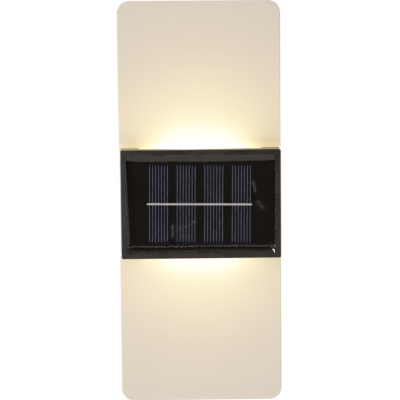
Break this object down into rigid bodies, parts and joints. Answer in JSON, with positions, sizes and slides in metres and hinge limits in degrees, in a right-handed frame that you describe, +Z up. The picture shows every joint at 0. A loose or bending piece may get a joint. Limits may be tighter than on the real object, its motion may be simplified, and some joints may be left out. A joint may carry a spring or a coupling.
{
  "type": "solar fence light",
  "caption": "Slim up-and-down solar light: a black solar panel housing clamped across a lit frosted plate, hung on a fence or wall by keyholes.",
  "frame": {"origin": "centre of the rear cover's flat back, on the plane of the fence or wall", "axes": "+Z up along the plate's long side, +Y into the wall, so the light faces -Y; +X to the viewer's right"},
  "size_m": [0.066, 0.0343, 0.1636],
  "materials": {
    "housing_abs": "moulded black ABS with a fine satin skin, glossy at a glance",
    "cover_abs": "moulded black ABS, fine spark texture",
    "frosted_acrylic": "warm white frosted acrylic, lit from the housing's windows",
    "solar_board_black": "black solder mask on glass-epoxy board",
    "silicon": "navy silicon cell strip with fine printed silver lines",
    "tinned_copper": "tin-plated copper ribbon",
    "clear_resin": "clear potting resin, mirror smooth, curved up at the tray wall",
    "frosted_lens": "frosted window strip, lit warm white from inside",
    "led_package": "white LED package with a yellow phosphor face",
    "circuit_board": "green solder mask on glass-epoxy board",
    "light_board_white": "white solder mask on aluminium board",
    "gasket_rubber": "closed-cell black rubber sheet",
    "plated_steel": "zinc-plated steel screw",
    "spring_steel": "nickel-plated spring steel",
    "switch_black": "black nylon switch body",
    "slider_white": "off-white acetal slider knob",
    "tinned_pin": "tinned brass solder pin",
    "battery_sleeve": "cell in a plain green sleeve",
    "cradle_black": "black ABS cell holder",
    "chip_black": "black moulded chip package",
    "choke_green": "lacquered choke with tinned wires",
    "lead_red": "red PVC lead",
    "lead_black": "black PVC lead"
  },
  "bodies": {
    "light": {"front_housing": "housing_abs", "solar_backing_board": "solar_board_black", "solar_cell_1": "silicon", "solar_cell_2": "silicon", "solar_cell_3": "silicon", "solar_cell_4": "silicon", "tab_ribbon": "tinned_copper", "solar_resin": "clear_resin", "light_lens_top": "frosted_lens", "light_board_top": "light_board_white", "led_top_left": "led_package", "led_top_right": "led_package", "light_lens_bottom": "frosted_lens", "light_board_bottom": "light_board_white", "led_bottom_left": "led_package", "led_bottom_right": "led_package", "front_gasket": "gasket_rubber", "diffuser_plate": "frosted_acrylic", "rear_gasket": "gasket_rubber", "rear_cover": "cover_abs", "cover_screws": "plated_steel", "switch_case": "switch_black", "switch_pins": "tinned_pin", "switch_screws": "plated_steel", "battery_cell": "battery_sleeve", "battery_cradle": "cradle_black", "battery_contact_plus": "spring_steel", "battery_contact_minus": "spring_steel", "battery_contact_spring": "spring_steel", "control_board": "circuit_board", "board_screws": "plated_steel", "driver_chip": "chip_black", "choke_coil": "choke_green", "solar_lead_red": "lead_red", "solar_lead_black": "lead_black", "top_light_lead_red": "lead_red", "top_light_lead_black": "lead_black", "bottom_light_lead_red": "lead_red", "bottom_light_lead_black": "lead_black", "switch_lead_red": "lead_red", "switch_lead_black": "lead_black", "battery_lead_red": "lead_red", "battery_lead_black": "lead_black"},
    "power_slider": {"switch_slider": "slider_white"}
  },
  "joints": [
    {"name": "power_switch", "type": "slide", "parent": "light", "child": "power_slider", "axis": [1, 0, 0], "range_m": [0, 0.002]}
  ]
}
